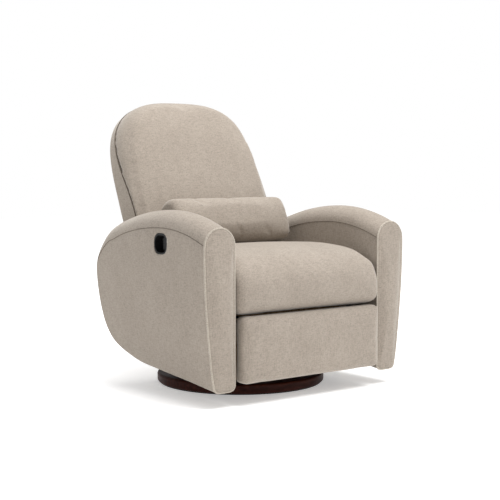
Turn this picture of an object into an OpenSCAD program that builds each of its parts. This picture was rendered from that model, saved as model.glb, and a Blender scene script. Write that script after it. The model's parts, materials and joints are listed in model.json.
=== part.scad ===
// Glider nursery chair: swivel base, parallel-link glider, reclining back and fold-out footrest.
// Millimetres. The chair faces -Y, +X is to the right seen from the front, the floor is Z = 0.

/* [Overall size] */
// Width across the outside of both arms
overall_w = 842; // [760:2:1012]
// Height of the top of the back above the floor
back_top_h = 984; // [820:2:1190]
// Diameter of the round wooden base
base_d = 582; // [486:2:700]
// Thickness of each arm
arm_t = 114; // [94:1:138]
// Height of the arms at their crest
arm_h = 608; // [580:1:640]

/* [Seat and pillow] */
// Height of the seat cushion's crown
seat_h = 490; // [440:1:520]
// How far the seat cushion reaches in front of the base's centre
seat_front = 402; // [340:1:440]
// Gap between the seat cushion and each arm
cushion_gap = 7; // [3:1:15]
// Lumbar pillow width
pillow_w = 506; // [440:2:560]
// Lumbar pillow height
pillow_h = 160; // [134:1:192]
// Lumbar pillow thickness
pillow_t = 116; // [96:1:140]

/* [Back] */
// Lean of the back from upright, degrees
back_lean = 22.3; // [15:0.1:27]
// Thickness of the back between its front seam and its rear face
back_t = 94; // [78:1:113]
// Crown of the back's front cushion ahead of its seam
back_crown = 36; // [30:1:43]

/* [Footrest] */
// Height of the footrest panel
footrest_h = 212; // [176:1:220]
// Thickness of the footrest pad
footrest_pad_t = 54; // [45:1:64]
// Length of the footrest swing arms
swing_len = 165; // [138:1:172]

/* [Glider and swivel] */
// Length of the glide links between their pins
glide_len = 100; // [84:1:120]
// Diameter of the swivel's bearing balls
ball_d = 12; // [10:0.5:14.4]
// Number of bearing balls
ball_count = 24; // [12:1:28]

/* [Hidden] */
$fn = 64;

// Fits
run_gap = 0.05;     // radial clearance of a pin in its bore
part_gap = 0.3;     // gap between pieces of different bodies
fit_gap = 0.1;      // gap between pieces fixed together
layer_gap = 2;      // side gap between moving bars

// Base and swivel
pad_h = 3;
disc_top = 36;
plate_r = 150;
plate_t = 3;
race_r = 128;
pin_r = 12;
ball_r = ball_d / 2;
lower_plate_top = disc_top + plate_t;
ball_z = lower_plate_top + fit_gap + ball_r;
upper_plate_z = ball_z + ball_r + fit_gap;
upper_plate_top = upper_plate_z + plate_t;
screw_r = 3;
screw_ring_r = 70;
nut_h = 8;

// Lateral layers, from the middle outwards
arm_in = overall_w / 2 - arm_t;        // inner face of each arm
plate_x = arm_in - 63;                 // inner face of each side plate
side_t = 4;
bar_t = 5;
tower_x = plate_x - 30;
tower_t = 6;
glide_bar_x = tower_x + tower_t + 4;
glide_bar_t = 6;
layer_a = plate_x + side_t + layer_gap;
layer_b = layer_a + bar_t + layer_gap;
layer_c = layer_b + bar_t + layer_gap;
cushion_x = arm_in - cushion_gap;
footrest_x = arm_in - 15;

// Glider
glide_pin_r = 8;
glide_low_z = 90;
glide_top_z = glide_low_z + glide_len;
glide_front_y = -140;
glide_rear_y = 70;
rail_h = 30;
rail_z = upper_plate_top;

// Footrest linkage, in (forward, up)
drive = [296, 256];
rear_offset = [-62, -32];
swing_angle = -110;
swing_pin = drive + swing_len * [cos(swing_angle), sin(swing_angle)];
rear_pivot = drive + rear_offset;
rear_pin = swing_pin + rear_offset;
rest_pin = swing_pin + [76.4, 145];
crank_drop = [0, -40];
control_pin = swing_pin + crank_drop;
rest_control_pin = rest_pin + crank_drop;
link_pin_r = 5;
tube_r = 10;
bar_w = 16;
board_front = 332;
board_t = 12;
footrest_top = rest_pin[1] + 35;

// Back
pivot_y = 110;
pivot_z = 285;
back_pin_r = 8;
seam_n = -18.6;
back_r = arm_in - 9;
back_low = 24;
back_high = ((back_top_h - pivot_z) + seam_n * sin(back_lean)) / cos(back_lean);
arch_h = 356;
arch_power = 3.1;
shell_t = 14;
rear_n = seam_n + back_t;
frame_w = 40;
post_x = layer_a + bar_t - 1 + fit_gap;   // inner face of each side post, clamping the bracket
kick_r = 136;
kick_t = 7;

// Arms
facing_y = -366;
facing_t = 14;
facing_taper = 34;
arm_low = 52;
foam_t = 20;
facing_top = arm_h - 50;
seam_drop = arm_t / 2;
cup_y = -131;
cup_z = arm_h - 107;
cup_w = 71;
cup_h = 63;
cup_corner = 27;
cup_depth = 28;

fabric = [0.70, 0.66, 0.59];
steel = [0.22, 0.22, 0.23];
zinc = [0.70, 0.71, 0.72];
timber = [0.74, 0.58, 0.40];
walnut = [0.17, 0.07, 0.05];
black = [0.03, 0.03, 0.03];

// ---------- helpers ----------
// Children on the right side and mirrored on the left
module both() {
    children();
    mirror([1, 0, 0]) children();
}

// Children placed on one side: 1 right, -1 left
module side(s) {
    if (s > 0) children();
    else mirror([1, 0, 0]) children();
}

// Extrudes a (forward, up) outline along X from x0, t thick
module fwd_plate(x0, t) {
    translate([x0, 0, 0]) rotate([90, 0, 90]) linear_extrude(t) mirror([1, 0]) children();
}

// Extrudes a (back, up) outline along X from x0, t thick
module side_extrude(x0, t) {
    translate([x0, 0, 0]) rotate([90, 0, 90]) linear_extrude(t) children();
}

// Cylinder along X at (forward, up)
module fwd_pin(p, r, x0, x1) {
    translate([x0, -p[0], p[1]]) rotate([0, 90, 0]) cylinder(r = r, h = x1 - x0);
}

// Cylinder along X at (y, z)
module x_pin(y, z, r, x0, x1) {
    translate([x0, y, z]) rotate([0, 90, 0]) cylinder(r = r, h = x1 - x0);
}

// Flat bar outline with round ends between two points
module bar2d(a, b, w) {
    d = b - a;
    translate(a) circle(d = w);
    translate(b) circle(d = w);
    translate(a) rotate(atan2(d[1], d[0])) translate([0, fit_gap - w / 2]) square([norm(d), w - 2 * fit_gap]);
}

module box(lo, hi) {
    translate(lo) cube(hi - lo);
}

// Children in the back's own frame: X across, Y rearward, Z up along the back, origin at its pivot
module on_back() {
    translate([0, pivot_y, pivot_z]) rotate([-back_lean, 0, 0]) children();
}

// Point of the back's outline, inset by d: super-ellipse arch
function arch_point(a, d) =
    let (p = 2 / arch_power, c = cos(a), s = sin(a))
    [(back_r - d) * sign(c) * pow(abs(c), p), back_high - arch_h + (arch_h - d) * pow(abs(s), p)];

module back_outline(d, low) {
    polygon(concat([[back_r - d, low]], [for (a = [0 : 6 : 180]) arch_point(a, d)], [[d - back_r, low]]));
}

// Extrudes the back's outline from n0, rearward by t
module back_slab(d, low, n0, t) {
    on_back() translate([0, n0 + t, 0]) rotate([90, 0, 0]) linear_extrude(t) back_outline(d, low);
}

// ---------- base ----------
module floor_pad() {
    color(black) cylinder(d = base_d - 16, h = pad_h);
}

module base_disc() {
    edge = 8;
    color(walnut) difference() {
        rotate_extrude($fn = 96) {
            translate([0, pad_h]) square([base_d / 2 - edge, disc_top - pad_h]);
            translate([0, pad_h + edge]) square([base_d / 2, disc_top - pad_h - 2 * edge]);
            translate([base_d / 2 - edge, pad_h + edge]) circle(edge);
            translate([base_d / 2 - edge, disc_top - edge]) circle(edge);
        }
        screw_ring() translate([0, 0, disc_top - 20]) cylinder(r = screw_r + fit_gap, h = 21);
    }
}

module screw_ring() {
    for (i = [0 : 5]) rotate(i * 60) translate([screw_ring_r, 0, 0]) children();
}

module swivel_lower_plate() {
    color(steel) difference() {
        translate([0, 0, disc_top]) cylinder(r = plate_r, h = plate_t);
        screw_ring() translate([0, 0, disc_top - 1]) cylinder(r = screw_r + fit_gap, h = plate_t + 2);
        translate([0, 0, disc_top - 1]) cylinder(r = pin_r + fit_gap, h = plate_t + 2);
    }
}

module base_screws() {
    color(zinc) screw_ring() {
        translate([0, 0, disc_top - 18]) cylinder(r = screw_r, h = 18 + plate_t + fit_gap);
        translate([0, 0, lower_plate_top + fit_gap]) cylinder(r = 6, h = 3);
    }
}

module swivel_pin() {
    color(zinc) {
        translate([0, 0, disc_top + fit_gap]) cylinder(r = pin_r, h = upper_plate_top - disc_top + nut_h + 4);
        translate([0, 0, lower_plate_top + fit_gap]) cylinder(r = pin_r + 8, h = 3);
    }
}

module swivel_nut() {
    color(zinc) difference() {
        translate([0, 0, upper_plate_top + part_gap]) cylinder(r = 21, h = nut_h, $fn = 6);
        cylinder(r = pin_r + fit_gap, h = 200);
    }
}

module ball_ring() {
    for (i = [0 : ball_count - 1]) rotate(i * 360 / ball_count) translate([race_r, 0, ball_z]) children();
}

module ball_cage() {
    color(zinc) difference() {
        translate([0, 0, ball_z - 1.5]) cylinder(r = race_r + 9, h = 3);
        translate([0, 0, ball_z - 3]) cylinder(r = race_r - 9, h = 6);
        ball_ring() translate([0, 0, -3]) cylinder(r = ball_r + 0.2, h = 6);
    }
}

module bearing_balls() {
    color(zinc) ball_ring() sphere(ball_r);
}

// ---------- swivelling glider frame ----------
module bolt_square() {
    for (x = [-1, 1], y = [cross_front, cross_rear]) translate([x * 72, y, 0]) children();
}

module swivel_upper_plate() {
    color(steel) difference() {
        translate([0, 0, upper_plate_z]) cylinder(r = plate_r, h = plate_t);
        translate([0, 0, upper_plate_z - 1]) cylinder(r = pin_r + run_gap, h = plate_t + 2);
        bolt_square() translate([0, 0, upper_plate_z - 1]) cylinder(r = 4 + fit_gap, h = plate_t + 2);
    }
}

rail_w = 26;
cross_front = glide_front_y + 60;
cross_rear = glide_rear_y - 25;

module glider_frame() {
    color(steel) difference() {
        union() {
            both() box([tower_x - rail_w, glide_front_y - 30, rail_z],
                [tower_x - fit_gap, glide_rear_y + 30, rail_z + rail_h]);
            for (y = [cross_front, cross_rear])
                box([rail_w - tower_x, y - 20, rail_z], [tower_x - rail_w, y + 20, rail_z + rail_h]);
        }
        bolt_square() translate([0, 0, rail_z - 1]) cylinder(r = 4 + fit_gap, h = rail_h + 2);
    }
}

module tower(y) {
    side_extrude(tower_x, tower_t) difference() {
        union() {
            translate([y - 20, rail_z]) square([40, glide_top_z - rail_z]);
            translate([y, glide_top_z]) circle(20);
        }
        translate([y, glide_top_z]) circle(glide_pin_r + fit_gap);
    }
}

module glider_towers() {
    color(steel) both() {
        tower(glide_front_y);
        tower(glide_rear_y);
        box([tower_x, glide_front_y + 20, rail_z], [tower_x + tower_t, glide_rear_y - 20, rail_z + rail_h]);
    }
}

module swivel_bolts() {
    color(zinc) bolt_square() {
        translate([0, 0, upper_plate_z + 0.5])
            cylinder(r = 4, h = rail_z - upper_plate_z + rail_h + fit_gap - 0.5);
        translate([0, 0, rail_z + rail_h + fit_gap]) cylinder(r = 7, h = 5, $fn = 6);
    }
}

// Rubber stops under the seat that the glide links meet at the ends of their swing
module glide_bumpers() {
    color(black) both() for (y = [glide_front_y, glide_rear_y])
        translate([tower_x + tower_t / 2, y, glide_top_z + 20 + fit_gap]) cylinder(r = 10, h = 6);
}

module glide_upper_pins() {
    color(zinc) both() for (y = [glide_front_y, glide_rear_y]) {
        x_pin(y, glide_top_z, glide_pin_r, tower_x - 6, glide_bar_x + glide_bar_t + 1);
        x_pin(y, glide_top_z, 13, tower_x - 6, tower_x - fit_gap);
        x_pin(y, glide_top_z, 12, glide_bar_x + glide_bar_t + 1, glide_bar_x + glide_bar_t + 4);
    }
}

module glide_link(y) {
    side_extrude(glide_bar_x, glide_bar_t) difference() {
        bar2d([y, glide_low_z], [y, glide_top_z], 28);
        translate([y, glide_low_z]) circle(glide_pin_r + run_gap);
        translate([y, glide_top_z]) circle(glide_pin_r + run_gap);
    }
}

module front_glide_links() {
    color(steel) both() glide_link(glide_front_y);
}

module rear_glide_links() {
    color(steel) both() glide_link(glide_rear_y);
}

// ---------- seat chassis ----------
module side_plate() {
    fwd_plate(plate_x, side_t) difference() {
        union() {
            hull() {
                translate(drive) circle(18);
                translate([290, 130]) circle(15);
                translate([165, 85]) circle(15);
                translate([-95, 85]) circle(15);
                translate([-pivot_y + 1, 200]) circle(15);
                translate([-pivot_y, pivot_z - 20]) circle(16);
                translate([200, pivot_z - 18]) circle(14);
            }
            hull() for (z = [pivot_z - 40, pivot_z]) translate([-pivot_y, z]) circle(16);
            hull() {
                translate([-95, 110]) circle(15);
                translate([-135, 138]) circle(8);
            }
        }
        translate(drive) circle(tube_r + run_gap);
        translate(rear_pivot) circle(link_pin_r + fit_gap);
        translate([-pivot_y, pivot_z]) circle(back_pin_r + run_gap);
        for (y = [glide_front_y, glide_rear_y]) translate([-y, glide_low_z]) circle(glide_pin_r + fit_gap);
        hull() for (f = [60, -40]) translate([f, 180]) circle(32);
        for (f = bracket_f) for (z = bracket_z) translate([f, z]) circle(4 + fit_gap);
    }
}

module side_plate_left() {
    cable_end = cable_route[len(cable_route) - 1];
    color(steel) difference() {
        side(-1) side_plate();
        x_pin(cable_end[1], cable_end[2], cable_r + 2, -plate_x - side_t - 1, -plate_x + 1);
    }
}

module side_plate_right() {
    color(steel) side(1) side_plate();
}

module glide_lower_pins() {
    color(zinc) both() for (y = [glide_front_y, glide_rear_y]) {
        x_pin(y, glide_low_z, glide_pin_r, glide_bar_x - 2, plate_x + side_t + 1);
        x_pin(y, glide_low_z, 12, glide_bar_x + glide_bar_t + 1, plate_x - fit_gap);
        x_pin(y, glide_low_z, 12, glide_bar_x - 4, glide_bar_x - 1);
    }
}

rail_top = pivot_z - 2;
rail_low = rail_top - 44;
rail_front = -258;
rail_rear = 93;
rail_t = 22;
pivot_room = 8;     // the rear rail stops short of the back's pivot heads

// Rails are butted with a hairline joint, so that each is a straight board
module seat_frame() {
    color(timber) {
        both() box([plate_x - rail_t, rail_front + fit_gap, rail_low],
            [plate_x - fit_gap, rail_rear - fit_gap, rail_top]);
        box([fit_gap - plate_x, rail_front - rail_t, rail_low], [plate_x - fit_gap, rail_front, rail_top]);
        box([pivot_room - plate_x, rail_rear, rail_low], [plate_x - pivot_room, rail_rear + rail_t, rail_top]);
    }
}

// Zigzag spring wire: straight rods and half-round bends between the front and rear rails
spring_wire = 2;
spring_step = 24;
spring_w = 22;
spring_z = rail_top - 6;

module zigzag(x) {
    rows = floor((rail_rear - rail_front - 12) / spring_step);
    start = (rail_front + rail_rear - (rows - 1) * spring_step) / 2;
    translate([x, start, spring_z]) for (i = [0 : rows - 1]) translate([0, i * spring_step, 0]) {
        rotate([0, 90, 0]) translate([0, 0, -spring_w]) cylinder(r = spring_wire, h = 2 * spring_w, $fn = 16);
        if (i < rows - 1) translate([i % 2 == 0 ? spring_w : -spring_w, spring_step / 2, 0])
            rotate(i % 2 == 0 ? -90 : 90) rotate_extrude(angle = 180, $fn = 24)
                translate([spring_step / 2, 0]) circle(spring_wire, $fn = 16);
    }
}

module seat_springs() {
    color(zinc) for (i = [-1.5 : 1 : 1.5]) zigzag(i * (2 * plate_x - 60) / 4);
}

seat_low = pivot_z + 1;
seat_fall = 14;
seat_rear_n = -back_crown + seam_n - 6.4;
function back_plane_y(n, z) = pivot_y + n / cos(back_lean) + tan(back_lean) * (z - pivot_z);

module seat_cushion() {
    color(fabric) intersection() {
        side_extrude(-cushion_x, 2 * cushion_x) hull() {
            translate([-seat_front + 70, seat_h - 78]) circle(70);
            translate([-seat_front + 50, seat_low + 40]) circle(40);
            translate([-seat_front + 44, seat_low]) square([10, 10]);
            translate([-seat_front + 200, seat_h - 20]) circle(20);
            translate([back_plane_y(seat_rear_n, seat_h - 30) - 16, seat_h - seat_fall - 14]) circle(14);
            translate([back_plane_y(seat_rear_n, seat_low) - 10, seat_low]) square([10, 5]);
        }
        translate([0, 300, 0]) rotate([90, 0, 0]) linear_extrude(900) hull() both() {
            translate([cushion_x - 22, seat_h - 22]) circle(22);
            translate([cushion_x - 10, seat_low + 10]) circle(10);
        }
    }
}

bracket_f = [150, -60];
bracket_z = [215, 245];

// Angle brackets that carry the arms
module arm_brackets() {
    web = 4;
    color(steel) both() for (f = bracket_f) difference() {
        union() {
            box([plate_x + side_t + fit_gap, -f - 16, 205], [plate_x + side_t + fit_gap + web, -f + 16, 255]);
            box([plate_x + side_t + fit_gap, -f - 16, 201], [arm_in - fit_gap, -f + 16, 205]);
            box([arm_in - fit_gap - web, -f - 16, 205], [arm_in - fit_gap, -f + 16, 255]);
        }
        for (z = bracket_z) x_pin(-f, z, 4 + fit_gap, plate_x, arm_in + 5);
    }
}

module kick_panel() {
    color(fabric) translate([-cushion_x, pivot_y, pivot_z]) rotate([0, 90, 0]) kick_arc();
}

// Curved panel about the back's pivot, swept from just behind the seat down under it
module kick_arc() {
    difference() {
        cylinder(r = kick_r + kick_t, h = 2 * cushion_x, $fn = 128);
        translate([0, 0, -1]) cylinder(r = kick_r, h = 2 * cushion_x + 2, $fn = 128);
        kick_cut(30, 0);
        kick_cut(75, 180);
    }
}

// Removes the half plane on one side of a radius; angles are below level, towards the rear
module kick_cut(a, turn) {
    rotate(90 - a + turn) translate([-400, 0, -1]) cube([800, 400, 2 * cushion_x + 2]);
}

// ---------- arms ----------
front_arc_r = 600;
rear_arc_r = 914;
crest_y = -130;

// Height of the arm's crest above its highest point, along the arm
function crest_fall(y) = y < crest_y ? front_arc_r - sqrt(pow(front_arc_r, 2) - pow(y - crest_y, 2))
    : rear_arc_r - sqrt(pow(rear_arc_r, 2) - pow(y - crest_y, 2));
function shoulder(y) = arm_h - seam_drop - crest_fall(y);
arm_rear_y = 232;

// Side outline of the arm under its rounded top, inset by d
module arm_side2d(d) {
    top = [for (i = [0 : 16]) let (y = facing_y + i * (arm_rear_y - facing_y) / 16)
        [y + (i == 0 ? d : 0), shoulder(y) - d]];
    bottom = [
        [255 - d, 455], [265 - d, 420], [267 - d, 389], [263 - d, 355], [253 - d, 300], [241 - d, 250],
        [226 - d, 208], [191 - d, 165 + d], [148 - d, 142 + d], [92, 121 + d], [32, 105 + d], [-96, 90 + d],
        [-245, 74 + d], [facing_y + d, arm_low + d]
    ];
    polygon(concat(top, bottom));
}

// Rounded arm top: a half-round profile swept along the crest line as two tangent arcs
module arm_top(r) {
    sink = 16;
    for (part = [[front_arc_r, facing_y - crest_y - 70], [rear_arc_r, arm_rear_y - 12 - crest_y]]) {
        arc = part[0];
        sweep = asin(part[1] / arc);
        translate([0, crest_y, arm_h - arc]) rotate([0, -90, 0])
            rotate(sweep > 0 ? 0 : sweep) rotate_extrude(angle = abs(sweep), $fn = 160) {
                intersection() {
                    translate([arc - seam_drop, 0]) circle(r, $fn = 48);
                    translate([arc - seam_drop, -r]) square([r + 10, 2 * r]);
                }
                translate([arc - seam_drop - sink, 1 - r]) square([sink + 1, 2 * r - 2]);
            }
    }
}

// The arm's outer face leans in towards the floor
module arm_lean() {
    front_slab(facing_y, 700) polygon([
        [arm_in, 0], [arm_in + arm_t - facing_taper, 0], [arm_in + arm_t - facing_taper, arm_low],
        [arm_in + arm_t - 8, 300], [arm_in + arm_t, 430], [arm_in + arm_t, 700], [arm_in, 700]
    ]);
}

module arm_outer() {
    intersection() {
        union() {
            side_extrude(arm_in, arm_t) arm_side2d(0);
            translate([arm_in + arm_t / 2, 0, 0]) arm_top(arm_t / 2 - 0.01);
        }
        arm_lean();
    }
}

module arm_bolt_holes() {
    for (f = bracket_f) for (z = bracket_z) x_pin(-f, z, 4 + fit_gap, arm_in - 1, arm_in + foam_t + 34);
}

// Boards of the timber frame inside the arm, grown by d on every side
module arm_boards(d) {
    x0 = arm_in + foam_t - d;
    x1 = arm_in + arm_t - facing_taper - foam_t + 10 + d;
    box([x0, -340 - d, 120 - d], [x1, -300 + d, 450 + d]);
    box([x0, 160 - d, 225 - d], [x1, 200 + d, 425 + d]);
    box([x0, -300 + fit_gap - d, 410 - d], [x1, 160 - fit_gap + d, 440 + d]);
    box([x0, -300 + fit_gap - d, 200 - d], [x1, 160 - fit_gap + d, 260 + d]);
}

module arm_cover() {
    difference() {
        arm_outer();
        arm_boards(fit_gap);
        arm_bolt_holes();
    }
}

module arm_frame() {
    difference() {
        arm_boards(0);
        arm_bolt_holes();
    }
}

// Front outline of the arm: rounded arch, its outer edge leaning in towards the bottom
module facing2d(d) {
    mid = arm_in + arm_t / 2;
    low_w = arm_t - facing_taper;
    r = arm_t / 2 - d;
    hull() {
        intersection() {
            translate([mid, facing_top - arm_t / 2]) circle(r, $fn = 96);
            translate([arm_in, facing_top - arm_t / 2]) square([arm_t, arm_t]);
        }
        translate([mid - r, 420]) square([2 * r, 4]);
        translate([arm_in + d, 300]) square([arm_t - 2 * d - 4, 4]);
        translate([arm_in + 16, arm_low + 16]) circle(16 - d);
        translate([arm_in + low_w - 16, arm_low + 16]) circle(16 - d);
    }
}

module front_slab(y0, t) {
    translate([0, y0 + t, 0]) rotate([90, 0, 0]) linear_extrude(t) children();
}

module arm_facing() {
    front_slab(facing_y - facing_t - fit_gap, facing_t) facing2d(0);
}

module arm_welt() {
    front_slab(facing_y - facing_t - 2 * fit_gap - 5, 5) difference() {
        facing2d(-2);
        facing2d(4);
    }
}

module arm_frame_left() {
    color(timber) difference() {
        side(-1) arm_frame();
        cable_channels();
    }
}

// The right-hand sitter's arm carries the release cup in its outer face
module arm_cover_left() {
    color(fabric) difference() {
        side(-1) arm_cover();
        cup_place() translate([0, 0, -1]) linear_extrude(cup_depth + 1 + fit_gap) cup2d(0);
        cable_channels();
    }
}

module arm_facing_left() {
    color(fabric) side(-1) arm_facing();
}

module arm_welt_left() {
    color(fabric) side(-1) arm_welt();
}

module arm_frame_right() {
    color(timber) side(1) arm_frame();
}

module arm_cover_right() {
    color(fabric) side(1) arm_cover();
}

module arm_facing_right() {
    color(fabric) side(1) arm_facing();
}

module arm_welt_right() {
    color(fabric) side(1) arm_welt();
}

module arm_bolts() {
    color(zinc) both() for (f = bracket_f) for (z = bracket_z) {
        x_pin(-f, z, 4, arm_in - 4, arm_in + foam_t + 32);
        translate([arm_in - 8 - fit_gap, -f, z]) rotate([0, 90, 0]) cylinder(r = 6.5, h = 4 - fit_gap, $fn = 6);
        x_pin(-f, z, 4, plate_x, plate_x + side_t + 6);
        translate([plate_x + side_t + 4 + 2 * fit_gap, -f, z]) rotate([0, 90, 0])
            cylinder(r = 6.5, h = 4, $fn = 6);
    }
}

// ---------- release handle ----------
// Children with Z pointing into the arm from its outer left face
module cup_place() {
    translate([-overall_w / 2, cup_y, cup_z]) rotate([0, 90, 0]) rotate(90) children();
}

module cup2d(d) {
    hull() for (u = [-1, 1], v = [-1, 1])
        translate([u * (cup_w / 2 - cup_corner), v * (cup_h / 2 - cup_corner)]) circle(cup_corner + d);
}

cup_wall = 2.5;

module handle_cup() {
    color(black) difference() {
        union() {
            cup_place() translate([0, 0, -1]) linear_extrude(cup_depth + 1) cup2d(-fit_gap);
            cup_place() translate([0, 0, -2]) linear_extrude(2) cup2d(3);
        }
        cup_place() translate([0, 0, -3]) linear_extrude(cup_depth + 3 - cup_wall) cup2d(-cup_wall - 1);
        translate([-overall_w / 2 + paddle_x, cup_y + paddle_y, cup_z - cup_h])
            cylinder(r = paddle_pin_r + fit_gap, h = 2 * cup_h);
        x_pin(cable_pts[0][1], cup_z, cable_hole - 1, -overall_w / 2 + cup_depth - 10, cable_in_x);
    }
}

paddle_pin_r = 2;
paddle_pin_h = cup_h - 13;
paddle_x = 15;
paddle_y = -22;
paddle_len = 28;
paddle_h = 36;
paddle_t = 4;

// Finger paddle, hinged on an upright pin at the cup's front end
module release_paddle() {
    color(black) translate([-overall_w / 2 + paddle_x, cup_y + paddle_y, cup_z]) difference() {
        union() {
            translate([0, 0, -paddle_h / 2]) cylinder(r = 4, h = paddle_h);
            translate([-paddle_t / 2, 0, -paddle_h / 2]) cube([paddle_t, paddle_len, paddle_h]);
        }
        translate([0, 0, -paddle_h]) cylinder(r = paddle_pin_r + run_gap, h = 2 * paddle_h);
    }
}

module paddle_pin() {
    color(zinc) translate([-overall_w / 2 + paddle_x, cup_y + paddle_y, cup_z - paddle_pin_h / 2])
        cylinder(r = paddle_pin_r, h = paddle_pin_h);
}

// Release cable: sheathed wire from the cup's floor, down inside the arm to the latch bracket
cable_r = 3;
cable_pts = [
    [-392, -110, 501], [-380, -110, 501], [-366, -110, 498], [-356, -110, 488], [-352, -110, 474],
    [-352, -110, 430], [-352, -110, 380], [-352, -110, 340], [-350, -112, 318], [-342, -118, 302],
    [-330, -126, 293], [-316, -135, 287], [-302, -147, 281], [-287, -165, 274], [-276, -190, 263],
    [-270, -215, 250], [-266, -236, 238], [-259, -252, 231], [-250, -261, 228], [-241, -262, 227]
];
cable_shift = [-(overall_w - 842) / 2, 0, 0];
cable_route = [for (p = cable_pts) p + cable_shift + (p[2] > 450 ? [0, 0, arm_h - 608] : [0, 0, 0])];

function unit(v) = v / norm(v);
function tangent(p, i) = unit(p[min(i + 1, len(p) - 1)] - p[max(i - 1, 0)]);
function ring(p, i, r, k) =
    let (t = tangent(p, i), ref = [0.3, 0.9, 0.31], u = unit(cross(t, ref)), v = cross(t, u))
    [for (j = [0 : k - 1]) p[i] + r * (cos(j * 360 / k) * u + sin(j * 360 / k) * v)];

module swept(p, r, k) {
    n = len(p);
    polyhedron(
        points = [for (i = [0 : n - 1]) each ring(p, i, r, k)],
        faces = concat(
            [[for (j = [0 : k - 1]) j]],
            [for (i = [0 : n - 2], j = [0 : k - 1])
                [i * k + j, (i + 1) * k + j, (i + 1) * k + (j + 1) % k, i * k + (j + 1) % k]],
            [[for (j = [k - 1 : -1 : 0]) (n - 1) * k + j]]
        )
    );
}

// Channels for the cable: in from the cup, down through the arm, and out of its inner face
cable_hole = cable_r + 4;
cable_in_x = -overall_w / 2 + 69;

module cable_channels() {
    bore_y = cable_pts[0][1];
    x_pin(bore_y, cup_z, cable_hole, -overall_w / 2 + cup_depth - 10, cable_in_x + cable_hole);
    translate([cable_in_x, bore_y, 296]) cylinder(r = cable_hole + 5, h = cup_z - 296 + cable_hole);
    x_pin(bore_y - 18, 294, cable_hole + 17, cable_in_x - cable_hole, -arm_in + 1);
}

module release_cable() {
    color(black) swept(cable_route, cable_r, 10);
}

// ---------- latch ----------
latch_f = 262;
latch_z = 205;

module latch_bracket() {
    color(steel) side(-1) {
        difference() {
            box([plate_x - fit_gap - 4, -latch_f - 20, latch_z - 22],
                [plate_x - fit_gap, -latch_f + 20, latch_z + 14]);
            x_pin(-latch_f + 8, latch_z - 10, 4 + fit_gap, plate_x - 40, plate_x);
        }
    }
}

module latch_pawl() {
    color(zinc) side(-1) difference() {
        union() {
            fwd_plate(plate_x - 4 - fit_gap - 8, 5)
                bar2d([latch_f - 8, latch_z - 10], [latch_f + 18, latch_z + 14], 14);
            x_pin(-latch_f + 8, latch_z - 10, 4 + fit_gap - run_gap, plate_x - 13, plate_x - 0.5);
        }
    }
}

// ---------- footrest linkage ----------
module drive_tube() {
    color(steel) difference() {
        fwd_pin(drive, tube_r, -layer_a - bar_t + 1, layer_a + bar_t - 1);
        fwd_pin(drive, tube_r - 2, -500, 500);
    }
}

module front_swing_arms() {
    color(steel) both() {
        fwd_plate(layer_a, bar_t) difference() {
            union() {
                bar2d(drive, swing_pin, bar_w + 6);
                bar2d(swing_pin, control_pin, bar_w);
                translate(drive) circle(tube_r + 6);
            }
            translate(drive) circle(tube_r + fit_gap);
        }
        fwd_pin(swing_pin, link_pin_r, layer_a + 1, layer_b + bar_t + 1);
        fwd_pin(swing_pin, link_pin_r + 3, layer_b + bar_t + 0.5, layer_b + bar_t + 1.8);
        fwd_pin(control_pin, link_pin_r, layer_a + 1, layer_b + bar_t + 1);
        fwd_pin(control_pin, link_pin_r + 3, layer_b + bar_t + 0.5, layer_b + bar_t + 1.8);
    }
}

// Torsion springs on the drive tube, just inside the side plates
module swing_springs() {
    color(zinc) both() translate([plate_x - 34, -drive[0], drive[1]]) rotate([0, 90, 0])
        for (i = [0 : 5]) translate([0, 0, i * 5])
            rotate_extrude($fn = 48) translate([tube_r + 3, 0]) circle(2, $fn = 16);
}

module rear_swing_pivots() {
    color(zinc) both() {
        fwd_pin(rear_pivot, link_pin_r, plate_x - 3, layer_a + bar_t + 0.8);
        fwd_pin(rear_pivot, link_pin_r + 4, plate_x - 3, plate_x - fit_gap);
        fwd_pin(rear_pivot, link_pin_r + 3, layer_a + bar_t + 0.3, layer_a + bar_t + 1.6);
    }
}

module rear_swing_arms() {
    color(steel) both() {
        fwd_plate(layer_a, bar_t) difference() {
            bar2d(rear_pivot, rear_pin, bar_w);
            translate(rear_pivot) circle(link_pin_r + run_gap);
        }
        fwd_pin(rear_pin, link_pin_r, layer_a + 1, layer_b + bar_t + 1);
    }
}

module link_bars() {
    color(steel) both() {
        fwd_plate(layer_b, bar_t) difference() {
            union() {
                bar2d(rear_pin, swing_pin, bar_w);
                bar2d(swing_pin, rest_pin, bar_w);
            }
            translate(swing_pin) circle(link_pin_r + run_gap);
            translate(rear_pin) circle(link_pin_r + run_gap);
        }
        fwd_pin(rest_pin, link_pin_r, layer_b + 1, layer_c + bar_t + 1);
        fwd_pin(rest_pin, link_pin_r + 3, layer_c + bar_t + 0.5, layer_c + bar_t + 2);
    }
}

module control_links() {
    color(steel) both() {
        fwd_plate(layer_b, bar_t) difference() {
            bar2d(control_pin, rest_control_pin, bar_w);
            translate(control_pin) circle(link_pin_r + run_gap);
        }
        fwd_pin(rest_control_pin, link_pin_r, layer_b + 1, layer_c + bar_t + 1);
    }
}

module footrest_brackets() {
    foot = [board_front - fit_gap, rest_pin[1] - 12];
    color(steel) both() {
        fwd_plate(layer_c, bar_t) difference() {
            union() {
                bar2d(rest_pin, rest_control_pin, bar_w + 2);
                translate([rest_pin[0], rest_control_pin[1] - 70])
                    square([board_front - fit_gap - rest_pin[0], 118]);
            }
            translate(rest_pin) circle(link_pin_r + run_gap);
            translate(rest_control_pin) circle(link_pin_r + run_gap);
        }
        box([layer_c - 22, -board_front + fit_gap, rest_control_pin[1] - 70],
            [layer_c, -board_front + fit_gap + 4, rest_control_pin[1] - 14]);
    }
}

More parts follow.
